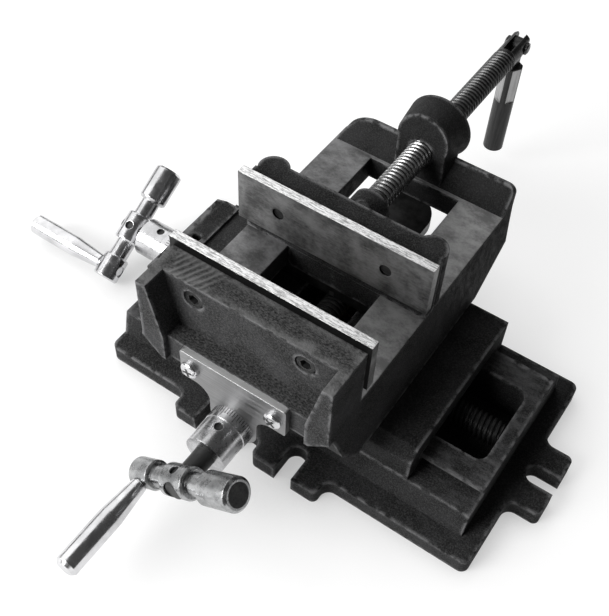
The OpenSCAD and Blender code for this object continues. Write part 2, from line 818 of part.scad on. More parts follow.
module vise_body() {
    cavity = rail_in + 7.7;
    back_y = rail_end_y + boss_l;
    color("#2b2c2e") difference() {
        union() {
            for (side = [0, 1])
                mirror([side, 0, 0]) {
                    intersection() {
                        along_y(rib_y - 1, back_y) side_section();
                        along_x(0, rail_out + side_flare + 1) side_view();
                    }
                    along_y(rib_y, cast_y) rib_outline();
                }
            translate([-rail_out, recess_y, well_z])
                cube([2 * rail_out, jaw_cast_t, jaw_top - well_z]);
            translate([-rib_in - 1, ledge_y, well_z])
                cube([2 * (rib_in + 1), ledge_d + lap, ledge_z - well_z]);
            translate([-rail_in - lap, rail_end_y, well_z])
                cube([2 * (rail_in + lap), wall_set + wall_t, rail_t]);
            intersection() {
                along_y(wall_y, wall_y + wall_t) wall_outline();
                along_x(-rail_out, rail_out) wall_profile();
            }
            screw_boss();
        }
        along_y(rib_y - 1, back_y + 1) mirror([1, 0]) dovetail_groove(saddle_top);
        translate([-cavity, rib_y - 1, saddle_top])
            cube([2 * cavity, back_y - rib_y + 2, well_z - saddle_top]);
        translate([0, 0, clamp_z]) rod_y(rail_end_y - 1, back_y + 1, clamp_d / 2 + thread_gap);
        for (s = [-1, 1])
            translate([s * jaw_screw_pitch / 2, 0, jaw_screw_z]) {
                rod_y(recess_y - 1, cast_y + 1, cap_r + fit_gap);
                rod_y(recess_y - 1, recess_y + cap_sink, cap_head_r + fit_gap);
            }
        on_y_axis() plate_screw_pair(-1, y_plate_c, pan_r + fit_gap, 0, bearing_t + pan_bite + 1);
        for (at = [-y_gib_pitch, 0, y_gib_pitch])
            y_gib_place(at) gib_screw_hole(rail_out + side_flare);
    }
}

// Puts a screw modelled along +X at its place on the left side of the body
module y_gib_place(at) {
    translate([0, y_gib_mid + at, saddle_top + dovetail_h / 2]) mirror([1, 0, 0]) children();
}

module y_gib() {
    color("#8f9296") along_y(body_flat_y0 + 1, body_flat_y1 - 1) mirror([1, 0])
        gib_outline(saddle_top);
}

module y_gib_screws() {
    color("#55585c") for (at = [-y_gib_pitch, 0, y_gib_pitch])
        y_gib_place(at) gib_screw(rail_out + side_flare * (1 - dovetail_h / rail_h) - lap);
}

// Jaw plate whose back is at y0 and whose front is at y1
module jaw_plate(y0, y1) {
    difference() {
        translate([-plate_l / 2, min(y0, y1), plate_z]) cube([plate_l, plate_t, plate_h]);
        for (s = [-1, 1])
            translate([s * jaw_screw_pitch / 2, 0, jaw_screw_z])
                rod_y(min(y0, y1) - 1, max(y0, y1) + 1, cap_r + fit_gap);
    }
}

// Two cap screws with their heads' seat at y = 0 and their shanks towards +Y
module cap_screws(shank) {
    for (s = [-1, 1])
        translate([s * jaw_screw_pitch / 2, 0, jaw_screw_z]) {
            rod_y(-cap_head_h, 0, cap_head_r);
            rod_y(-lap, shank, cap_r);
        }
}

module fixed_jaw_plate() {
    color("#c4c7ca") jaw_plate(cast_y, jaw_face_y);
}

module fixed_jaw_screws() {
    color("#3a3c3f") translate([0, recess_y + cap_sink, 0])
        cap_screws(jaw_cast_t + plate_t - cap_sink - cap_tip);
}

// Movable jaw and clamp screw

groove_y = mov_back_y + 6;
groove_w = 5;
journal_r = clamp_d / 2 - 1.25;
groove_r = journal_r - 1.4;
mov_boss_r = 9.5;

module movable_jaw() {
    keel_y = mov_front_y + end_gap;
    keel_l = mov_end_y - 2 - keel_y;
    ear_x = mov_l / 2 - ear_r;
    ear_y = mov_back_y + 3.7 - ear_r;
    color("#2b2c2e") difference() {
        union() {
            translate([-mov_l / 2, mov_front_y, rail_top])
                cube([mov_l, mov_t - ear_r, jaw_cast_h]);
            translate([-ear_x, mov_front_y, rail_top]) cube([2 * ear_x, mov_t, jaw_cast_h]);
            for (s = [-1, 1])
                translate([s * ear_x, ear_y, rail_top]) cylinder(r = ear_r, h = jaw_cast_h);
            along_y(mov_back_y - lap, mov_end_y) arch(rail_top, clamp_z + mov_boss_r, mov_boss_r);
            translate([slide_gap - rail_in, keel_y, keel_z])
                cube([2 * (rail_in - slide_gap), keel_l, rail_top - keel_z + lap]);
        }
        translate([0, 0, clamp_z]) rod_y(mov_back_y - 2, mov_end_y + 1, journal_r + run_gap);
        translate([0, groove_y, clamp_z]) cylinder(r = grub_r + fit_gap, h = 2 * mov_boss_r);
        for (s = [-1, 1])
            translate([s * jaw_screw_pitch / 2, 0, jaw_screw_z]) {
                rod_y(mov_front_y - 1, mov_back_y + 1, cap_r + fit_gap);
                rod_y(mov_back_y - cap_sink, mov_back_y + 1, cap_head_r + fit_gap);
            }
        for (dy = keeper_screw_dy)
            translate([0, mov_front_y + dy, keel_z - 1]) cylinder(r = pan_r + fit_gap, h = pan_bite + 2);
    }
}

module movable_jaw_plate() {
    color("#c4c7ca") jaw_plate(mov_front_y, mov_y);
}

module movable_jaw_screws() {
    color("#3a3c3f") translate([0, mov_back_y - cap_sink, 0]) mirror([0, 1, 0])
        cap_screws(mov_t + plate_t - cap_sink - cap_tip);
}

// Plate under the rails that keeps the jaw down, with a tail that runs below the rear housing
module keeper_plate() {
    wide = rail_in + 5.7;
    tail_r = 16.4;
    y0 = mov_front_y + end_gap;
    y1 = mov_back_y + keeper_tail;
    front_l = mov_end_y - 2 - y0;
    color("#55585c") difference() {
        translate([0, 0, keel_z - keeper_t]) linear_extrude(keeper_t) {
            translate([-wide, y0]) square([2 * wide, front_l]);
            translate([-tail_r, y0]) square([2 * tail_r, y1 - tail_r - y0]);
            translate([0, y1 - tail_r]) circle(tail_r);
        }
        for (dy = keeper_screw_dy)
            translate([0, mov_front_y + dy, keel_z - keeper_t - 1]) {
                cylinder(r = pan_r + fit_gap, h = keeper_t + 2);
                cylinder(r = pan_head_r + fit_gap, h = pan_head_h + 1);
            }
    }
}

module keeper_screws() {
    color("#3a3c3f") for (dy = keeper_screw_dy)
        translate([0, mov_front_y + dy, keel_z - keeper_t]) {
            cylinder(r = pan_head_r, h = pan_head_h);
            cylinder(r = pan_r, h = keeper_t + pan_bite);
        }
}

// Grub screw whose tip runs in the clamp screw's groove
module screw_retainer() {
    color("#3a3c3f") translate([0, groove_y, clamp_z + groove_r + end_gap])
        cylinder(r = grub_r, h = mov_boss_r - groove_r - 2 * end_gap);
}

pin_y = mov_end_y + end_gap + clamp_l + fork_l;

// Threaded rod whose end is a fork with two level sides
module clamp_screw() {
    thread_y = mov_end_y + end_gap;
    fork_r = clamp_d / 2 - 0.25;
    fork_end = pin_y + fork_r;
    chamfer = 2;
    slot = tongue_t / 2 + slide_gap;
    color("#4a4c50") difference() {
        translate([0, 0, clamp_z]) {
            rod_y(mov_back_y - 2 + end_gap, groove_y - groove_w / 2, journal_r);
            rod_y(groove_y - groove_w / 2 - lap, groove_y + groove_w / 2 + lap, groove_r);
            rod_y(groove_y + groove_w / 2, thread_y + lap, journal_r);
            rod_y(thread_y, thread_y + clamp_l, clamp_d / 2);
            rod_y(thread_y + clamp_l - lap, fork_end - chamfer, fork_r);
            translate([0, fork_end - chamfer, 0]) rotate([-90, 0, 0])
                cylinder(r1 = fork_r, r2 = fork_r - chamfer, h = chamfer);
        }
        translate([-slot, pin_y - fork_l + 1, clamp_z - clamp_d])
            cube([2 * slot, 2 * fork_l, 2 * clamp_d]);
        for (side = [-1, 1])
            translate([side * (fork_x + clamp_d), pin_y, clamp_z])
                cube([2 * clamp_d, 2 * fork_r, 2 * clamp_d], center = true);
        translate([0, pin_y, clamp_z]) rod_x(-handle_d, handle_d, rivet_r + fit_gap);
    }
}

// Rivet through the fork, with a head on each side
module handle_pin() {
    head_r = rivet_r + 0.8;
    head_x = fork_x + slide_gap;
    color("#8f9296") translate([0, pin_y, clamp_z]) {
        rod_x(-head_x - lap, head_x + lap, rivet_r);
        for (side = [-1, 1])
            translate([side * head_x, 0, 0]) rotate([0, side * 90, 0]) {
                cylinder(r = head_r, h = 1.2);
                translate([0, 0, 1.2 - lap]) cylinder(r1 = head_r, r2 = head_r - 1, h = 1);
            }
    }
}

// Bar with flats near its top, and a tongue that swings in the screw's fork
module clamp_handle() {
    chamfer = 1.5;
    bar_z = chamfer - handle_l;
    flats_turn = 59;
    color("#6b6e72") difference() {
        translate([0, pin_y, clamp_z]) {
            translate([0, 0, -handle_l])
                cylinder(d1 = handle_d - 2 * chamfer, d2 = handle_d, h = chamfer);
            translate([0, 0, bar_z - lap]) cylinder(d = handle_d, h = lap - flats_l - bar_z);
            intersection() {
                translate([0, 0, -flats_l - lap]) cylinder(d = handle_d, h = flats_l - tongue_l + lap);
                rotate([0, 0, flats_turn]) cube([flats_w, flats_w, 3 * flats_l], center = true);
            }
            intersection() {
                translate([0, 0, -tongue_l - lap]) cylinder(d = flats_w, h = tongue_l + lap);
                cube([tongue_t, 2 * handle_d, 3 * tongue_l], center = true);
            }
            rod_x(-tongue_t / 2, tongue_t / 2, flats_w / 2 - 0.5);
        }
        translate([0, pin_y, clamp_z]) rod_x(-handle_d, handle_d, rivet_r + run_gap);
    }
}

base_casting();
x_nut();
x_nut_screws();
saddle_casting();
x_gib();
x_gib_screws();
x_bearing_plate();
x_plate_screws();
y_nut();
y_nut_screws();
x_lead_screw();
x_dial();
x_dial_setscrew();
x_crank_arm();
x_crank_handle();
x_crank_pin();
vise_body();
fixed_jaw_plate();
fixed_jaw_screws();
y_gib();
y_gib_screws();
y_bearing_plate();
y_plate_screws();
y_lead_screw();
y_dial();
y_dial_setscrew();
y_crank_arm();
y_crank_handle();
y_crank_pin();
movable_jaw();
movable_jaw_plate();
movable_jaw_screws();
keeper_plate();
keeper_screws();
screw_retainer();
clamp_screw();
handle_pin();
clamp_handle();
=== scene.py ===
import math

import bmesh
import bpy
from mathutils import Matrix, Vector


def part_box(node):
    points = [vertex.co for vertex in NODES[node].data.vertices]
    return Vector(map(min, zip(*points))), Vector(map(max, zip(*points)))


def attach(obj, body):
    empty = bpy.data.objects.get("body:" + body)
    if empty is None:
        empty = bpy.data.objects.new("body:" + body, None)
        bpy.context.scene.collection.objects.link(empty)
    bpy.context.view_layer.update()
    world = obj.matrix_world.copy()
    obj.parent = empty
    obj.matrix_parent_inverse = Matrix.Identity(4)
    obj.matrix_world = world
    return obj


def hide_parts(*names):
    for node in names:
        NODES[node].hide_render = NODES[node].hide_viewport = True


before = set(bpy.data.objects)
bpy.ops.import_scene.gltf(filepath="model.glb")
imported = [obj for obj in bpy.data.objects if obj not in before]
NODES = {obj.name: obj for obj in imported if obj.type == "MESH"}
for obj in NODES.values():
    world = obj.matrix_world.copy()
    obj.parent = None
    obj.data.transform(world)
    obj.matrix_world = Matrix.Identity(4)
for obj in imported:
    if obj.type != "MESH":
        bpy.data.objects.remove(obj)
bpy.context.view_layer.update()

MM = 0.001

# Photograph: picture width in pixels and focal length of its camera in pixels
PICTURE_W = 609
FOCAL_PX = 989.66
# Camera place in millimetres and its angles in degrees
CAMERA_AT = Vector((144.7, -254.0, 413.2))
CAMERA_AZIMUTH = 31.81
CAMERA_ELEVATION = 51.73
CAMERA_ROLL = 3.21


def middle(node):
    """Middle of a node's box at rest."""
    low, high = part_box(node)
    return (low + high) / 2


# Sizes of the part that the nodes' boxes don't give; tilts in degrees
DOVETAIL_H = 7.2 * MM
JAW_PLATE_LIFT = 9.1 * MM
LEDGE_H = 2.6 * MM
WEIGHT_REACH = 36.5 * MM
CRANK_TILT = {"x": 29, "y": 35}
# Bar handle's milled flats: top and bottom below the rivet, and reach from the bar's axis
FLATS_TOP = 13.6 * MM
FLATS_BOTTOM = 36.4 * MM
FLATS_REACH = 5.69 * MM

# Axes and levels taken from the nodes' boxes at rest
AXIS_Z = {"x": middle("x_dial").z, "y": middle("y_dial").z}
CLAMP_Z = middle("handle_pin").z
PIN_Y = middle("handle_pin").y
BASE_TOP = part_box("base_casting")[1].z
WAY_TOP = BASE_TOP - DOVETAIL_H
RAIL_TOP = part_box("movable_jaw_plate")[0].z - JAW_PLATE_LIFT
LEDGE_TOP = RAIL_TOP + LEDGE_H
JAW_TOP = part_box("movable_jaw")[1].z
JAW_PLATE_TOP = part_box("fixed_jaw_plate")[1].z


# Materials

# Gloss of the rough castings, as the shader's specular level
CAST_GLOSS = 0.08


def grey(level, blue=1.0):
    """Neutral colour, or a faintly cold one."""
    return level, level, level * blue


class Shader:
    """Node graph of one procedural material. Textures stay with the piece when it moves."""

    def __init__(self, name):
        self.material = bpy.data.materials.new(name)
        self.material.use_nodes = True
        self.tree = self.material.node_tree
        self.bsdf = self.tree.nodes["Principled BSDF"]
        coords = self.node("ShaderNodeTexCoord")
        self.place = coords.outputs["Object"]
        split = self.node("ShaderNodeSeparateXYZ")
        self.put(split.inputs[0], self.place)
        self.x, self.y, self.z = split.outputs
        facing = self.node("ShaderNodeSeparateXYZ")
        self.put(facing.inputs[0], coords.outputs["Normal"])
        self.facing_back, self.facing_up = facing.outputs["Y"], facing.outputs["Z"]

    def node(self, kind, **settings):
        made = self.tree.nodes.new(kind)
        for key, value in settings.items():
            setattr(made, key, value)
        return made

    def put(self, socket, value):
        """Links an output to a socket, or sets a constant on it."""
        if isinstance(value, bpy.types.NodeSocket):
            self.tree.links.new(value, socket)
        elif hasattr(value, "__len__") and len(value) == 3 and socket.type == "RGBA":
            socket.default_value = (*value, 1.0)
        else:
            socket.default_value = value

    def math(self, operation, first, second=0.0):
        made = self.node("ShaderNodeMath", operation=operation)
        self.put(made.inputs[0], first)
        self.put(made.inputs[1], second)
        return made.outputs[0]

    def times(self, first, *others):
        """Product of two or more values."""
        for other in others:
            first = self.math("MULTIPLY", first, other)
        return first

    def mapped(self, stretch=(1, 1, 1), turn=(0, 0, 0)):
        """Place on the piece after a stretch and a turn in degrees."""
        mapping = self.node("ShaderNodeMapping")
        self.put(mapping.inputs["Vector"], self.place)
        mapping.inputs["Scale"].default_value = stretch
        mapping.inputs["Rotation"].default_value = [math.radians(t) for t in turn]
        return mapping.outputs[0]

    def noise(self, scale, detail=3.0, stretch=(1, 1, 1), roughness=0.55):
        """Noise with the given number of cells per metre, after a stretch of its space."""
        made = self.node("ShaderNodeTexNoise")
        self.put(made.inputs["Vector"], self.mapped(stretch))
        self.put(made.inputs["Scale"], scale)
        self.put(made.inputs["Detail"], detail)
        self.put(made.inputs["Roughness"], roughness)
        return made.outputs["Fac"]

    def remap(self, value, low, high, to_low=0.0, to_high=1.0, curve="SMOOTHSTEP"):
        """Takes a range of a value to another range, and stops at its ends."""
        made = self.node("ShaderNodeMapRange", interpolation_type=curve)
        for name, number in zip(("Value", "From Min", "From Max", "To Min", "To Max"),
                                (value, low, high, to_low, to_high)):
            self.put(made.inputs[name], number)
        return made.outputs[0]

    def near(self, value, level, reach):
        """1 where a value is within reach of a level."""
        return self.math("LESS_THAN", self.math("ABSOLUTE", self.math("SUBTRACT", value, level)), reach)

    def level_face(self, level):
        """1 on faces that look up at a given height."""
        up = self.math("GREATER_THAN", self.facing_up, 0.9)
        return self.times(up, self.near(self.z, level, 0.4 * MM))

    def mix(self, factor, first, second):
        """Mix of two colours."""
        made = self.node("ShaderNodeMix", data_type="RGBA")
        self.put(made.inputs[0], factor)
        self.put(made.inputs[6], first)
        self.put(made.inputs[7], second)
        return made.outputs[2]

    def blend(self, factor, first, second):
        """Mix of two numbers."""
        made = self.node("ShaderNodeMix", data_type="FLOAT")
        self.put(made.inputs[0], factor)
        self.put(made.inputs[2], first)
        self.put(made.inputs[3], second)
        return made.outputs[0]

    def openness(self, reach, **settings):
        """1 in the open, and less where a surface is within reach."""
        made = self.node("ShaderNodeAmbientOcclusion", **settings)
        self.put(made.inputs["Distance"], reach)
        return made.outputs["AO"]

    def outer_edges(self, reach):
        """Rises towards the outer edges of the solid, where paint and oxide wear off."""
        return self.math("SUBTRACT", 1.0, self.openness(reach, inside=True, only_local=True, samples=6))

    def painted_crevice_shade(self, reach):
        """Rises in corners and recesses; used to paint shade there."""
        return self.math("SUBTRACT", 1.0, self.openness(reach, samples=6))

    def surface(self, colour, roughness, metallic, bumps=(), edge_radius=0.0, specular=0.5):
        """Connects the shader. bumps are pairs of a height and its depth in metres."""
        self.put(self.bsdf.inputs["Base Color"], colour)
        self.put(self.bsdf.inputs["Roughness"], roughness)
        self.put(self.bsdf.inputs["Metallic"], metallic)
        self.put(self.bsdf.inputs["Specular IOR Level"], specular)
        normal = None
        if edge_radius:
            rounded = self.node("ShaderNodeBevel", samples=6)
            self.put(rounded.inputs["Radius"], edge_radius)
            normal = rounded.outputs[0]
        for height, depth in bumps:
            bump = self.node("ShaderNodeBump")
            self.put(bump.inputs["Height"], height)
            self.put(bump.inputs["Distance"], depth)
            if normal is not None:
                self.put(bump.inputs["Normal"], normal)
            normal = bump.outputs[0]
        if normal is not None:
            self.put(self.bsdf.inputs["Normal"], normal)
        return self.material


def cast_skin(s, dark=0.010, light=0.030, painted_shade=None):
    """Colour, roughness, wear and grain of the dark cast skin, darkened by an optional mask of painted
    shade.
    """
    patches = s.remap(s.noise(60, 4), 0.3, 0.7)
    colour = s.mix(patches, grey(dark), grey(light, 1.03))
    specks = s.remap(s.noise(1500, 4, roughness=0.8), 0.42, 0.66)
    colour = s.mix(s.times(specks, 0.7), colour, grey(2.6 * light))
    # Painted shade: a near black mixed in by the given mask
    if painted_shade is not None:
        colour = s.mix(painted_shade, colour, grey(0.008))
    edges = s.remap(s.outer_edges(2.6 * MM), 0.14, 0.40)
    worn = s.times(edges, s.remap(s.noise(240, 5), 0.36, 0.58), 0.9)
    colour = s.mix(worn, colour, (0.22, 0.22, 0.223))
    roughness = s.remap(s.noise(240, 3), 0.3, 0.7, 0.55, 0.75)
    grain = s.noise(900, 4, roughness=0.7)
    lumps = s.noise(160, 2)
    return colour, roughness, [(grain, 0.45 * MM), (lumps, 0.5 * MM)]


def plain_iron():
    """Cast skin alone."""
    s = Shader("cast_iron")
    colour, roughness, bumps = cast_skin(s)
    return s.surface(colour, roughness, 0.0, bumps, 0.9 * MM, CAST_GLOSS)


def base_iron():
    """Cast skin, with the milled and scuffed tops of the ways."""
    s = Shader("base_iron")
    colour, roughness, bumps = cast_skin(s, 0.012, 0.034)
    tops = s.math("MAXIMUM", s.level_face(WAY_TOP), s.level_face(BASE_TOP))
    scuffs = s.remap(s.noise(38, 6, stretch=(1, 3, 1), roughness=0.75), 0.42, 0.72)
    colour = s.mix(s.times(tops, scuffs), colour, (0.11, 0.11, 0.112))
    return s.surface(colour, roughness, 0.0, bumps, 0.9 * MM, CAST_GLOSS)


def ground_rails(s):
    """Colour and roughness of the ground rails, of which the right one is painted brighter as light that
    the jaws' shade takes from it.
    """
    mottle = s.remap(s.noise(95, 6, stretch=(0.7, 1, 1), roughness=0.75), 0.34, 0.66)
    left_rail = s.mix(mottle, grey(0.10), (0.29, 0.29, 0.293))
    right_rail = s.mix(mottle, grey(0.20), grey(0.50))
    # Painted light: the rails grow brighter towards the right
    colour = s.mix(s.remap(s.x, -30 * MM, 30 * MM), left_rail, right_rail)
    return colour, s.remap(mottle, 0, 1, 0.46, 0.62)


def milled_grooves(s):
    """Slanting cutter marks at the left of the jaw's top, with ragged ends."""
    ragged = s.math("ADD", s.x, s.times(s.noise(90, 3), 16 * MM))
    left = s.times(s.remap(ragged, -8 * MM, -15 * MM), s.remap(ragged, -36 * MM, -31 * MM))
    wave = s.node("ShaderNodeTexWave", wave_type="BANDS", bands_direction="X", wave_profile="SIN")
    s.put(wave.inputs["Vector"], s.mapped(turn=(0, 0, 25)))
    s.put(wave.inputs["Scale"], 112)
    s.put(wave.inputs["Distortion"], 1.6)
    s.put(wave.inputs["Detail"], 2)
    return s.times(s.level_face(JAW_TOP), left, wave.outputs["Fac"])


def body_iron():
    """Cast skin of the vise body, painted darker towards the back as shade, with ground rails and a milled
    jaw top.
    """
    s = Shader("body_iron")
    # Painted shade: the skin darkens towards the back (+Y), over the boss and the rear housing
    painted_shade = s.times(s.remap(s.y, 10 * MM, 60 * MM), 0.6)
    colour, roughness, bumps = cast_skin(s, 0.018, 0.048, painted_shade)
    rails = s.level_face(RAIL_TOP)
    rail_colour, rail_roughness = ground_rails(s)
    colour = s.mix(rails, colour, rail_colour)
    jaw = s.level_face(JAW_TOP)
    grooves = milled_grooves(s)
    fine = s.noise(1300, 5, stretch=(0.6, 1, 1), roughness=0.75)
    skin = s.mix(s.remap(fine, 0.36, 0.68), grey(0.016), grey(0.12))
    rough_tops = s.math("MAXIMUM", jaw, s.level_face(LEDGE_TOP))
    colour = s.mix(s.times(rough_tops, 0.85), colour, skin)
    colour = s.mix(s.times(grooves, 0.8), colour, grey(0.17))
    edges = s.remap(s.outer_edges(6 * MM), 0.16, 0.42)
    rubbed = s.times(edges, s.remap(s.noise(150, 5), 0.34, 0.56), jaw, 0.8)
    colour = s.mix(rubbed, colour, grey(0.20))
    roughness = s.blend(rails, roughness, rail_roughness)
    bumps.append((grooves, 0.5 * MM))
    cast = s.math("SUBTRACT", 1.0, rails)
    bumps = [(s.times(height, cast), depth) for height, depth in bumps]
    return s.surface(colour, roughness, s.times(rails, 0.5), bumps, 0.8 * MM, CAST_GLOSS)


def brushed(name, dark, light, roughness, painted_top_highlight):
    """Brushed metal with its grain along X, and faces on top painted lighter as a highlight."""
    s = Shader(name)
    grain = s.noise(1500, 3, stretch=(0.03, 1, 1), roughness=0.7)
    clouds = s.noise(45, 4)
    streaks = s.math("ADD", s.times(grain, 0.7), s.times(clouds, 0.3))
    colour = s.mix(s.remap(streaks, 0.32, 0.68), grey(dark), grey(light, 1.01))
    # Painted highlight: faces that look up get their own lighter grey
    colour = s.mix(s.math("GREATER_THAN", s.facing_up, 0.7), colour, grey(painted_top_highlight))
    rough = s.remap(grain, 0.3, 0.7, roughness - 0.08, roughness + 0.08)
    return s.surface(colour, rough, 1.0, [(grain, 0.05 * MM)], 0.35 * MM)


def jaw_plate(name, back):
    """Jaw plate: brushed top painted brighter as a highlight, cloudy ground face painted darker as shade,
    and back and holes painted dark as shade. The back looks towards back * Y.
    """
    s = Shader(name)
    grain = s.noise(1500, 4, stretch=(0.2, 1, 1), roughness=0.75)
    rim = s.math("GREATER_THAN", s.z, JAW_PLATE_TOP - 1.5 * MM)
    top = s.times(s.math("GREATER_THAN", s.facing_up, 0.7), rim)
    # Painted highlight on the top and painted shade on the face: one steel in a light and a dark copy, each
    # with its own grain
    bright = s.mix(s.remap(grain, 0.36, 0.60), grey(0.30), grey(0.95))
    clouds = s.math("ADD", s.times(s.noise(60, 5, roughness=0.65), 0.75), s.times(grain, 0.25))
    face = s.mix(s.remap(clouds, 0.36, 0.64), grey(0.075), grey(0.31))
    colour = s.mix(top, face, bright)
    # Painted shade: the back face, turned away from the lamps, is painted near black
    behind = s.math("GREATER_THAN", s.times(s.facing_back, back), 0.7)
    colour = s.mix(behind, colour, grey(0.018))
    # Painted shade: faces across the plate below its top, in the bores and underneath, are painted near
    # black
    across = s.math("LESS_THAN", s.math("ABSOLUTE", s.facing_back), 0.7)
    bores = s.times(across, s.math("SUBTRACT", 1.0, rim), s.near(s.x, 0.0, 45 * MM))
    colour = s.mix(bores, colour, grey(0.015))
    rough = s.blend(top, s.remap(clouds, 0.3, 0.7, 0.42, 0.56), s.remap(grain, 0.3, 0.7, 0.30, 0.46))
    return s.surface(colour, rough, 0.9, [(grain, 0.05 * MM)], 0.35 * MM)


def chrome(name, dark, light, smooth, rough, edge_radius):
    """Bright plating with faint clouds and finger marks."""
    s = Shader(name)
    clouds = s.noise(90, 4)
    colour = s.mix(s.remap(clouds, 0.3, 0.7), grey(dark, 1.015), grey(light, 1.015))
    roughness = s.remap(s.noise(260, 4), 0.3, 0.7, smooth, rough)
    return s.surface(colour, roughness, 1.0, [(s.noise(320, 2), 0.03 * MM)], edge_radius)


def crank_plating():
    """Plating on a rough crank casting: cloudier and rougher than on the turned parts, and painted darker
    in its crevices as shade.
    """
    s = Shader("crank_plating")
    clouds = s.remap(s.noise(130, 5, roughness=0.65), 0.3, 0.7)
    colour = s.mix(clouds, (0.22, 0.223, 0.226), (0.48, 0.484, 0.488))
    # Painted shade: the plating darkens in corners and recesses
    dirt_and_painted_shade = s.remap(s.painted_crevice_shade(4 * MM), 0.25, 0.7)
    colour = s.mix(s.times(dirt_and_painted_shade, 0.7), colour, grey(0.05))
    roughness = s.remap(s.noise(300, 4), 0.3, 0.7, 0.20, 0.36)
    return s.surface(colour, roughness, 1.0, [(s.noise(800, 4, roughness=0.7), 0.07 * MM)], 0.5 * MM)


def thread(name, flank_light, root_light, roughness, shine, dull_from=1.0):
    """Screw thread: bright worn flanks, crests dulled with oil and dark roots; darker behind a place on Y.
    """
    s = Shader(name)
    crest = s.node("ShaderNodeAttribute", attribute_name="crest").outputs["Fac"]
    dirt_and_painted_shade = s.remap(s.noise(300, 4), 0.3, 0.75)
    flank = s.times(s.remap(crest, 0.10, 0.40), s.remap(crest, 1.0, 0.85, 0.18, 1.0))
    # Flanks grow darker and less metallic behind dull_from
    flank = s.times(flank, s.remap(s.y, dull_from, dull_from + 45 * MM, 1.0, 0.22))
    worn = s.times(flank, s.remap(dirt_and_painted_shade, 0, 1, 0.6, 1.0))
    colour = s.mix(worn, grey(root_light), grey(flank_light))
    bumps = [(s.noise(900, 3), 0.06 * MM)]
    return s.surface(colour, roughness, s.times(flank, shine), bumps, specular=0.2)


def oxide(name, dark, light, roughness):
    """Oiled black oxide on small steel parts."""
    s = Shader(name)
    colour = s.mix(s.remap(s.noise(220, 4), 0.3, 0.7), grey(dark), grey(light))
    edges = s.remap(s.outer_edges(0.6 * MM), 0.15, 0.6)
    colour = s.mix(s.times(edges, 0.6), colour, grey(0.22))
    rough = s.remap(s.noise(400, 3), 0.3, 0.7, roughness - 0.08, roughness + 0.1)
    return s.surface(colour, rough, 0.6, [(s.noise(1400, 3), 0.08 * MM)], 0.3 * MM)


def handle_steel():
    """Bar handle: dark rolled skin, bright on its milled flats."""
    s = Shader("handle_steel")
    along = s.math("SUBTRACT", s.y, PIN_Y)
    from_axis = s.math("SQRT", s.math("ADD", s.times(s.x, s.x), s.times(along, along)))
    flats_z = CLAMP_Z - (FLATS_TOP + FLATS_BOTTOM) / 2
    on_flats = s.near(s.z, flats_z, (FLATS_BOTTOM - FLATS_TOP) / 2)
    milled = s.times(s.math("LESS_THAN", from_axis, FLATS_REACH), on_flats)
    grain = s.noise(900, 4, stretch=(1, 1, 0.08))
    skin = s.mix(s.remap(grain, 0.3, 0.7), grey(0.022), grey(0.055))
    ground = s.mix(s.remap(grain, 0.3, 0.7), grey(0.30), grey(0.46))
    colour = s.mix(milled, skin, ground)
    return s.surface(colour, s.remap(grain, 0.2, 0.8, 0.36, 0.52), s.blend(milled, 0.2, 0.9),
                     [(grain, 0.08 * MM)], 0.25 * MM, 0.3)


def bronze():
    """Cast bronze of the nuts."""
    s = Shader("bronze")
    tint = s.remap(s.noise(130, 4), 0.3, 0.7)
    colour = s.mix(tint, (0.30, 0.20, 0.08), (0.47, 0.33, 0.15))
    return s.surface(colour, s.remap(tint, 0, 1, 0.3, 0.5), 1.0, [(s.noise(900, 3), 0.06 * MM)], 0.4 * MM)


def ink_and_painted_shade():
    """Dark engraved marks and sunk pins, and painted shade in screw recesses."""
    s = Shader("engraving_and_painted_shade")
    colour = s.mix(s.remap(s.noise(700, 3), 0.3, 0.7), grey(0.012), grey(0.035))
    return s.surface(colour, s.remap(s.noise(500, 2), 0.3, 0.7, 0.5, 0.7), 0.0)


MATERIALS = {
    "iron": plain_iron(),
    "base": base_iron(),
    "body": body_iron(),
    "fixed_jaw": jaw_plate("fixed_jaw_steel", -1),
    "movable_jaw": jaw_plate("movable_jaw_steel", 1),
    "chrome": chrome("chrome", 0.55, 0.74, 0.17, 0.28, 0.5 * MM),
    "dial": chrome("dial_chrome", 0.42, 0.64, 0.22, 0.32, 0.3 * MM),
    "steel": brushed("ground_steel", 0.26, 0.42, 0.34, 0.42),
    "plate": brushed("bearing_plate", 0.22, 0.36, 0.46, 0.85),
    "crank": crank_plating(),
    "x_lead": thread("x_lead_thread", 0.06, 0.008, 0.45, 0.3),
    "y_lead": thread("y_lead_thread", 0.30, 0.03, 0.40, 0.6),
    "clamp": thread("clamp_thread", 0.62, 0.005, 0.26, 0.85, 82 * MM),
    "black": oxide("black_steel", 0.02, 0.05, 0.4),
    "fastener": oxide("black_oxide", 0.02, 0.045, 0.36),
    "handle": handle_steel(),
    "bronze": bronze(),
    "ink_and_painted_shade": ink_and_painted_shade(),
}

NODE_LOOKS = {
    "base_casting": "base", "saddle_casting": "iron", "vise_body": "body", "movable_jaw": "iron",
    "fixed_jaw_plate": "fixed_jaw", "movable_jaw_plate": "movable_jaw",
    "x_nut": "bronze", "y_nut": "bronze", "x_gib": "steel", "y_gib": "steel",
    "x_bearing_plate": "plate", "y_bearing_plate": "plate", "x_dial": "dial", "y_dial": "dial",
    "x_dial_setscrew": "ink_and_painted_shade", "y_dial_setscrew": "ink_and_painted_shade", "x_crank_pin": "ink_and_painted_shade", "y_crank_pin": "ink_and_painted_shade",
    "x_crank_arm": "chrome", "y_crank_arm": "crank", "x_crank_handle": "chrome", "y_crank_handle": "chrome",
    "keeper_plate": "black", "handle_pin": "black", "clamp_handle": "handle",
}
for name, piece in NODES.items():
    piece.data.materials.clear()
    piece.data.materials.append(MATERIALS[NODE_LOOKS.get(name, "fastener")])


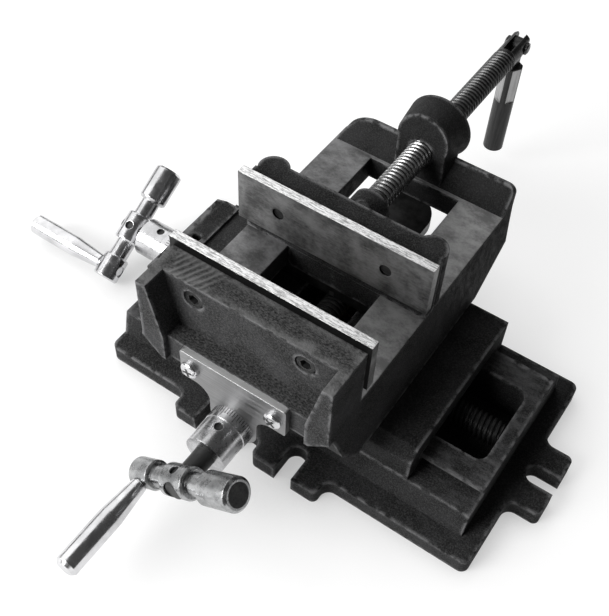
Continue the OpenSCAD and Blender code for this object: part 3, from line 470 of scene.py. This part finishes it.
# Mesh helpers
# Turned pieces are made along local +Z and then laid on their axis.

ALONG_X = Matrix.Rotation(math.radians(90), 4, "Y")
ALONG_Y = Matrix.Rotation(math.radians(-90), 4, "X")
AGAINST_Y = Matrix.Rotation(math.radians(90), 4, "X")
# Turn onto each slide's axis, and the axis's index in a vector
LAID = {"x": ALONG_X, "y": ALONG_Y}
INDEX = {"x": 0, "y": 1}

# Angles in degrees up to which faces are shaded as one surface
ROUND_ANGLE = 32
THREAD_ANGLE = 40


def add_piece(name, mesh, body, materials, place=Matrix.Identity(4), replaced=()):
    """Links a bmesh as a piece that rides on a body."""
    data = bpy.data.meshes.new(name)
    mesh.transform(place)
    bmesh.ops.recalc_face_normals(mesh, faces=mesh.faces)
    mesh.to_mesh(data)
    mesh.free()
    piece = bpy.data.objects.new(name, data)
    bpy.context.scene.collection.objects.link(piece)
    for material in materials:
        data.materials.append(MATERIALS[material])
    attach(piece, body)
    if replaced:
        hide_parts(*replaced)
    return piece


def smooth_by_angle(piece, degrees=ROUND_ANGLE):
    """Smooth shading with sharp edges above an angle."""
    for face in piece.data.polygons:
        face.use_smooth = True
    piece.data.set_sharp_from_angle(angle=math.radians(degrees))


def merge(mesh, part):
    """Adds a bmesh to another and frees it."""
    joined = bpy.data.meshes.new("joined")
    part.to_mesh(joined)
    part.free()
    mesh.from_mesh(joined)
    bpy.data.meshes.remove(joined)


def on_circle(radius, angle, height):
    """Point about the Z axis."""
    return radius * math.cos(angle), radius * math.sin(angle), height


def crest_layer(mesh):
    """Layer that tells the thread material how high a vertex is on the thread, from 0 to 1."""
    return mesh.verts.layers.float.get("crest") or mesh.verts.layers.float.new("crest")


def bridge(mesh, rings):
    """Joins closed rings of vertices with quads, and returns the faces."""
    count = len(rings[0])
    faces = []
    for low, high in zip(rings, rings[1:]):
        for i in range(count):
            j = (i + 1) % count
            faces.append(mesh.faces.new((low[i], low[j], high[j], high[i])))
    return faces


def loft(mesh, rings):
    """Joins closed rings of points and caps both ends. Returns the rings of vertices."""
    made = [[mesh.verts.new(point) for point in ring] for ring in rings]
    bridge(mesh, made)
    mesh.faces.new(made[0][::-1])
    mesh.faces.new(made[-1])
    return made


def lathe(mesh, outline, segments=48, crest=0.0):
    """Revolves (height, radius) pairs about Z and closes both ends."""
    layer = crest_layer(mesh)
    angles = [2 * math.pi * i / segments for i in range(segments)]
    rings = loft(mesh, [[on_circle(radius, angle, height) for angle in angles]
                        for height, radius in outline])
    for ring in rings:
        for vert in ring:
            vert[layer] = crest
    return rings


def helix(mesh, start, end, radius, depth, pitch, starts=1, segments=40):
    """Threaded rod between two heights, with chamfered ends. The crest layer is 1 on the crests."""
    layer = crest_layer(mesh)
    # Shares of the pitch and of the depth across one ridge of the thread
    profile = ((0.0, 0.0), (0.22, 0.0), (0.46, 1.0), (0.76, 1.0))
    root = radius - depth
    first_ridge = -starts - 1
    last_ridge = math.ceil((end - start) / pitch)
    strands = [(ridge * pitch + share * pitch, rise)
               for ridge in range(first_ridge, last_ridge + 1) for share, rise in profile]
    # A strand meets the one that lies this many rows further after a full turn
    shift = len(profile) * starts
    grid = []
    for offset, rise in strands:
        row = []
        for i in range(segments):
            height = start + offset + pitch * starts * i / segments
            height = min(max(height, start), end)
            reach = min(root + depth * rise, root + min(height - start, end - height))
            vert = mesh.verts.new(on_circle(reach, 2 * math.pi * i / segments, height))
            vert[layer] = rise
            row.append(vert)
        grid.append(row)
    for k in range(len(grid) - 1):
        for i in range(segments - 1):
            mesh.faces.new((grid[k][i], grid[k][i + 1], grid[k + 1][i + 1], grid[k + 1][i]))
        if k + 1 + shift < len(grid):
            mesh.faces.new((grid[k][-1], grid[k + shift][0], grid[k + 1 + shift][0], grid[k + 1][-1]))
    merged = 0.002 * MM
    bmesh.ops.remove_doubles(mesh, verts=mesh.verts, dist=merged)
    bmesh.ops.dissolve_degenerate(mesh, edges=mesh.edges, dist=merged)


# Lead screws

def lead_screw(along):
    """Lead screw with a two-start thread behind its bearing plate and a plain shaft in front."""
    axis = INDEX[along]
    node = along + "_lead_screw"
    low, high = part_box(node)
    plate_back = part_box(along + "_bearing_plate")[1][axis]
    radius = (high - low)[1 - axis] / 2
    depth, pitch = 1.3 * MM, 2.5 * MM
    shaft_r, chamfer = 5 * MM, 0.8 * MM
    gap, lap = 0.1 * MM, 1 * MM
    mesh = bmesh.new()
    helix(mesh, plate_back + gap, high[axis], radius, depth, pitch, starts=2)
    lathe(mesh, ((low[axis], shaft_r - chamfer), (low[axis] + chamfer, shaft_r),
                 (plate_back + lap, shaft_r)))
    place = Matrix.Translation((0, 0, AXIS_Z[along])) @ LAID[along]
    piece = add_piece(along + "_lead_thread", mesh, along + "_screw", [along + "_lead"],
                      place, [node])
    smooth_by_angle(piece, THREAD_ANGLE)


for along in "xy":
    lead_screw(along)


# Clamp screw

def fork_cheek(mesh, side, radius, start, flat_start, end):
    """One cheek of the clamp screw's fork: a slice of the rod, with a flat beside the rivet."""
    slot, flat, chamfer = 2.35 * MM, 4.9 * MM, 2 * MM
    steps = 14
    rings = []
    for height, reach, limit in ((start, radius, radius), (flat_start, radius, radius),
                                 (flat_start, radius, flat), (end - chamfer, radius, flat),
                                 (end, radius - chamfer, flat)):
        half_angle = math.acos(slot / reach)
        ring = []
        for i in range(steps + 1):
            x, y, z = on_circle(reach, half_angle * (2 * i / steps - 1), height)
            ring.append((side * min(x, limit), y, z))
        rings.append(ring)
    loft(mesh, rings)


def clamp_screw():
    """Clamp screw: journal in the jaw, thread, and the fork that carries the handle."""
    low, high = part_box("clamp_screw")
    place = Matrix.Translation((0, 0, CLAMP_Z)) @ ALONG_Y
    thread_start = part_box("movable_jaw")[1].y + 0.3 * MM
    thread_end = PIN_Y - 15.5 * MM
    thread_r, depth, pitch = 6.25 * MM, 1 * MM, 2.5 * MM
    journal_r, groove_r, groove_half = 5 * MM, 3.6 * MM, 2.5 * MM
    journal_lap = 0.5 * MM
    groove = middle("screw_retainer").y
    mesh = bmesh.new()
    helix(mesh, thread_start, thread_end, thread_r, depth, pitch)
    lathe(mesh, ((low.y, journal_r), (groove - groove_half, journal_r), (groove - groove_half, groove_r),
                 (groove + groove_half, groove_r), (groove + groove_half, journal_r),
                 (thread_start + journal_lap, journal_r)), crest=0.5)
    piece = add_piece("clamp_thread", mesh, "clamp_screw", ["clamp"], place, ["clamp_screw"])
    smooth_by_angle(piece, THREAD_ANGLE)

    fork_r = high.y - PIN_Y
    slot_start = PIN_Y - 14.5 * MM
    chamfer_start, chamfer_end, chamfer = thread_end - 2 * MM, thread_end - 0.6 * MM, 0.8 * MM
    cheek_lap = 0.2 * MM
    mesh = bmesh.new()
    lathe(mesh, ((chamfer_start, fork_r - chamfer), (chamfer_end, fork_r), (slot_start, fork_r)))
    for side in (-1, 1):
        fork_cheek(mesh, side, fork_r, slot_start - cheek_lap, PIN_Y - fork_r, high.y)
    piece = add_piece("clamp_fork", mesh, "clamp_screw", ["black"], place)
    smooth_by_angle(piece)


clamp_screw()


# Fasteners

def cross_head(mesh, radius, height, shank_r, shank_l):
    """Pan head with a cross recess, drawn as a dark cross of painted shade standing just proud of the head;
    seat at z = 0, head towards -Z; the cross's faces get material 1.
    """
    rim_h, dome_steps, dome_inset = 0.45 * height, 9, 0.62
    outline = [(shank_l, shank_r), (0.0, shank_r), (0.0, radius), (-rim_h, radius)]
    for i in range(1, dome_steps):
        angle = 0.5 * math.pi * i / dome_steps
        rise = rim_h + (height - rim_h) * math.sin(angle)
        outline.append((-rise, radius * (1 - dome_inset * (1 - math.cos(angle)))))
    lathe(mesh, outline)
    wide, long, depth, proud = 0.13 * radius, 0.56 * radius, 0.4 * height, 0.02 * MM
    corner = ((wide, long), (wide, wide), (long, wide))
    cross = []
    for cosine, sine in ((1, 0), (0, 1), (-1, 0), (0, -1)):
        cross += [(x * cosine + y * sine, -x * sine + y * cosine) for x, y in corner]
    # Painted shade: the recess is a dark prism whose top stands just proud of the head
    first = len(mesh.faces)
    loft(mesh, [[(x, y, z) for x, y in cross] for z in (-height - proud, depth - height)])
    mesh.faces.ensure_lookup_table()
    for face in mesh.faces[first:]:
        face.material_index = 1


def plate_screws(along, body):
    """The two pan-head screws of a bearing plate."""
    axis = INDEX[along]
    side = 1 - axis
    node = along + "_plate_screws"
    low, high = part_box(node)
    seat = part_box(along + "_bearing_plate")[0][axis]
    radius, shank_r = 4.4 * MM, 2.5 * MM
    mesh = bmesh.new()
    for sign in (-1, 1):
        one = bmesh.new()
        cross_head(one, radius, seat - low[axis], shank_r, high[axis] - seat)
        centre = Vector((0, 0, (low.z + high.z) / 2))
        centre[axis] = seat
        centre[side] = sign * (high[side] - radius)
        # Each screw stops at a turn of its own
        turn = Matrix.Rotation(math.radians(25 * sign + 10), 4, "Z")
        one.transform(Matrix.Translation(centre) @ LAID[along] @ turn)
        merge(mesh, one)
    piece = add_piece(node + "_cross", mesh, body, ["chrome", "ink_and_painted_shade"], replaced=[node])
    smooth_by_angle(piece)


plate_screws("x", "saddle")
plate_screws("y", "vise_body")


def socket_head(mesh, radius, height, shank_r, shank_l):
    """Cap screw with a hexagon socket, seat at z = 0, head towards -Z; socket faces get material 1, painted
    dark as shade.
    """
    segments = 48
    chamfer, socket_half, socket_depth = 0.7 * MM, 0.5 * radius, 0.55 * height
    outline = ((shank_l, shank_r), (0.0, shank_r), (0.0, radius), (chamfer - height, radius),
               (-height, radius - chamfer))
    rings = lathe(mesh, outline, segments)
    mesh.faces.ensure_lookup_table()
    mesh.faces.remove(mesh.faces[-1])
    mouth, bottom = [], []
    for i in range(segments):
        angle = 2 * math.pi * i / segments
        # Angle from the middle of the nearest side of the hexagon
        off_side = (angle + math.pi / 6) % (math.pi / 3) - math.pi / 6
        reach = socket_half / math.cos(off_side)
        mouth.append(mesh.verts.new(on_circle(reach, angle, -height)))
        bottom.append(mesh.verts.new(on_circle(reach, angle, socket_depth - height)))
    bridge(mesh, [rings[-1], mouth])
    socket_faces = bridge(mesh, [mouth, bottom])
    socket_faces.append(mesh.faces.new(bottom))
    # Painted shade: the socket's walls and bottom get the dark material
    for face in socket_faces:
        face.material_index = 1


def jaw_screws(node, body, sign):
    """The two socket cap screws of a jaw plate, heads towards -Y for sign 1 and +Y for sign -1."""
    low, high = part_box(node)
    head_h, shank_r = 6 * MM, 3 * MM
    radius = (high.z - low.z) / 2
    seat = low.y + head_h if sign > 0 else high.y - head_h
    laid = ALONG_Y if sign > 0 else AGAINST_Y
    mesh = bmesh.new()
    for side in (-1, 1):
        one = bmesh.new()
        socket_head(one, radius, head_h, shank_r, high.y - low.y - head_h)
        centre = Vector((side * (high.x - radius), seat, (low.z + high.z) / 2))
        # Each screw stops at a turn of its own
        turn = Matrix.Rotation(0.3 + 0.4 * side, 4, "Z")
        one.transform(Matrix.Translation(centre) @ laid @ turn)
        merge(mesh, one)
    piece = add_piece(node + "_socket", mesh, body, ["fastener", "ink_and_painted_shade"], replaced=[node])
    smooth_by_angle(piece)


jaw_screws("fixed_jaw_screws", "vise_body", 1)
jaw_screws("movable_jaw_screws", "movable_jaw", -1)


# Dials and cranks

def dial_marks(along):
    """Graduation lines on the rim of a dial, every fifth one longer."""
    axis = INDEX[along]
    node = along + "_dial"
    low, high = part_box(node)
    radius = (high.z - low.z) / 2
    count = 50
    height, width, long, short = 0.12 * MM, 0.32 * MM, 4.6 * MM, 2.8 * MM
    edge = high[axis] - 0.25 * MM
    mesh = bmesh.new()
    for i in range(count):
        length = long if i % 5 == 0 else short
        box = bmesh.ops.create_cube(mesh, size=1.0)
        size = Matrix.Diagonal((height, width, length, 1))
        turn = Matrix.Rotation(2 * math.pi * i / count, 4, "Z")
        where = turn @ Matrix.Translation((radius, 0, edge - length / 2))
        bmesh.ops.transform(mesh, matrix=where @ size, verts=box["verts"])
    place = Matrix.Translation((0, 0, AXIS_Z[along])) @ LAID[along]
    add_piece(node + "_marks", mesh, along + "_screw", ["ink_and_painted_shade"], place)


for along in "xy":
    dial_marks(along)


def weight_end(along):
    """Dark turned face on the end of a crank's counterweight, with a ring cut in it."""
    axis = INDEX[along]
    node = along + "_crank_arm"
    tilt = math.radians(CRANK_TILT[along])
    hub = Vector((0, 0, AXIS_Z[along]))
    hub[axis] = middle(node)[axis]
    outward = Vector((0, 0, math.sin(tilt)))
    outward[1 - axis] = math.cos(tilt)
    # Heights above the weight's end and radii, in millimetres
    outline = ((-0.3, 5.3), (0.05, 5.3), (0.08, 5.1), (0.08, 3.4), (0.04, 3.2), (0.08, 3.0),
               (0.08, 0.9), (0.04, 0.6))
    mesh = bmesh.new()
    lathe(mesh, [(height * MM, radius * MM) for height, radius in outline])
    turn = outward.to_track_quat("Z", "Y").to_matrix().to_4x4()
    place = Matrix.Translation(hub + outward * WEIGHT_REACH) @ turn
    add_piece(node + "_end", mesh, along + "_screw", ["ink_and_painted_shade"], place)


for along in "yx":
    weight_end(along)


# Floor, light and camera

def paper():
    """White paper: white to the camera and in reflections, and it keeps the shadow.

    It glows less close to the object, which paints a contact shadow there, and more past the lamps' reach.
    """
    s = Shader("paper")
    rays = s.node("ShaderNodeLightPath").outputs
    seen = s.math("ADD", rays["Is Camera Ray"], rays["Is Glossy Ray"])
    seen = s.math("ADD", seen, rays["Is Transmission Ray"])
    away = s.node("ShaderNodeVectorMath", operation="LENGTH")
    s.put(away.inputs[0], s.place)
    full = s.remap(away.outputs["Value"], 0.3, 1.5, 0.76, 1.0, "LINEAR")
    # Painted shadow: the glow drops where the object is near
    glow_with_painted_shadow = s.remap(s.openness(70 * MM, samples=8), 0.3, 1.0, 0.45, full, "LINEAR")
    s.put(s.bsdf.inputs["Emission Color"], grey(1.0))
    s.put(s.bsdf.inputs["Emission Strength"], s.times(seen, glow_with_painted_shadow))
    return s.surface(grey(0.40), 0.8, 0.0, specular=0.1)


def floor():
    """Wide floor, just below the base's foot."""
    half_side, gap = 20.0, 0.2 * MM
    mesh = bmesh.new()
    bmesh.ops.create_grid(mesh, x_segments=1, y_segments=1, size=half_side)
    data = bpy.data.meshes.new("floor")
    mesh.to_mesh(data)
    mesh.free()
    data.materials.append(paper())
    piece = bpy.data.objects.new("floor", data)
    bpy.context.scene.collection.objects.link(piece)
    piece.location.z = -gap


def area_light(name, at, target, size, power):
    """Rectangular lamp that looks at a target, in metres and watts."""
    lamp = bpy.data.lights.new(name, "AREA")
    lamp.shape = "RECTANGLE"
    lamp.size, lamp.size_y = size
    lamp.energy = power
    holder = bpy.data.objects.new(name, lamp)
    bpy.context.scene.collection.objects.link(holder)
    holder.location = at
    holder.rotation_mode = "QUATERNION"
    holder.rotation_quaternion = (Vector(target) - Vector(at)).to_track_quat("-Z", "Y")


def lights():
    """Two soft boxes from the left, and a faint even sky."""
    centre = (0.0, 0.0, 0.05)
    area_light("front_left", (-0.60, -1.0, 0.65), centre, (0.8, 0.8), 20)
    area_light("left_top", (-0.95, 0.35, 1.0), centre, (2.0, 1.5), 13)
    world = bpy.data.worlds.new("studio")
    bpy.context.scene.world = world
    world.use_nodes = True
    shade = world.node_tree.nodes["Background"]
    shade.inputs["Color"].default_value = (1, 1, 1, 1)
    shade.inputs["Strength"].default_value = 0.07


def camera():
    """Camera at the photograph's view."""
    data = bpy.data.cameras.new("camera")
    data.sensor_fit = "HORIZONTAL"
    data.sensor_width = 36
    data.lens = FOCAL_PX * data.sensor_width / PICTURE_W
    data.clip_start = 0.01
    data.clip_end = 20
    azimuth, elevation, roll = (math.radians(a) for a in (CAMERA_AZIMUTH, CAMERA_ELEVATION, CAMERA_ROLL))
    forward = Vector((-math.sin(azimuth) * math.cos(elevation), math.cos(azimuth) * math.cos(elevation),
                      -math.sin(elevation)))
    level = Vector((math.cos(azimuth), math.sin(azimuth), 0))
    upright = level.cross(forward)
    right = level * math.cos(roll) + upright * math.sin(roll)
    up = right.cross(forward)
    holder = bpy.data.objects.new("camera", data)
    bpy.context.scene.collection.objects.link(holder)
    turn = Matrix((right, up, -forward)).transposed().to_4x4()
    holder.matrix_world = Matrix.Translation(CAMERA_AT * MM) @ turn
    bpy.context.scene.camera = holder


floor()
lights()
camera()
bpy.context.scene.view_settings.view_transform = "Standard"
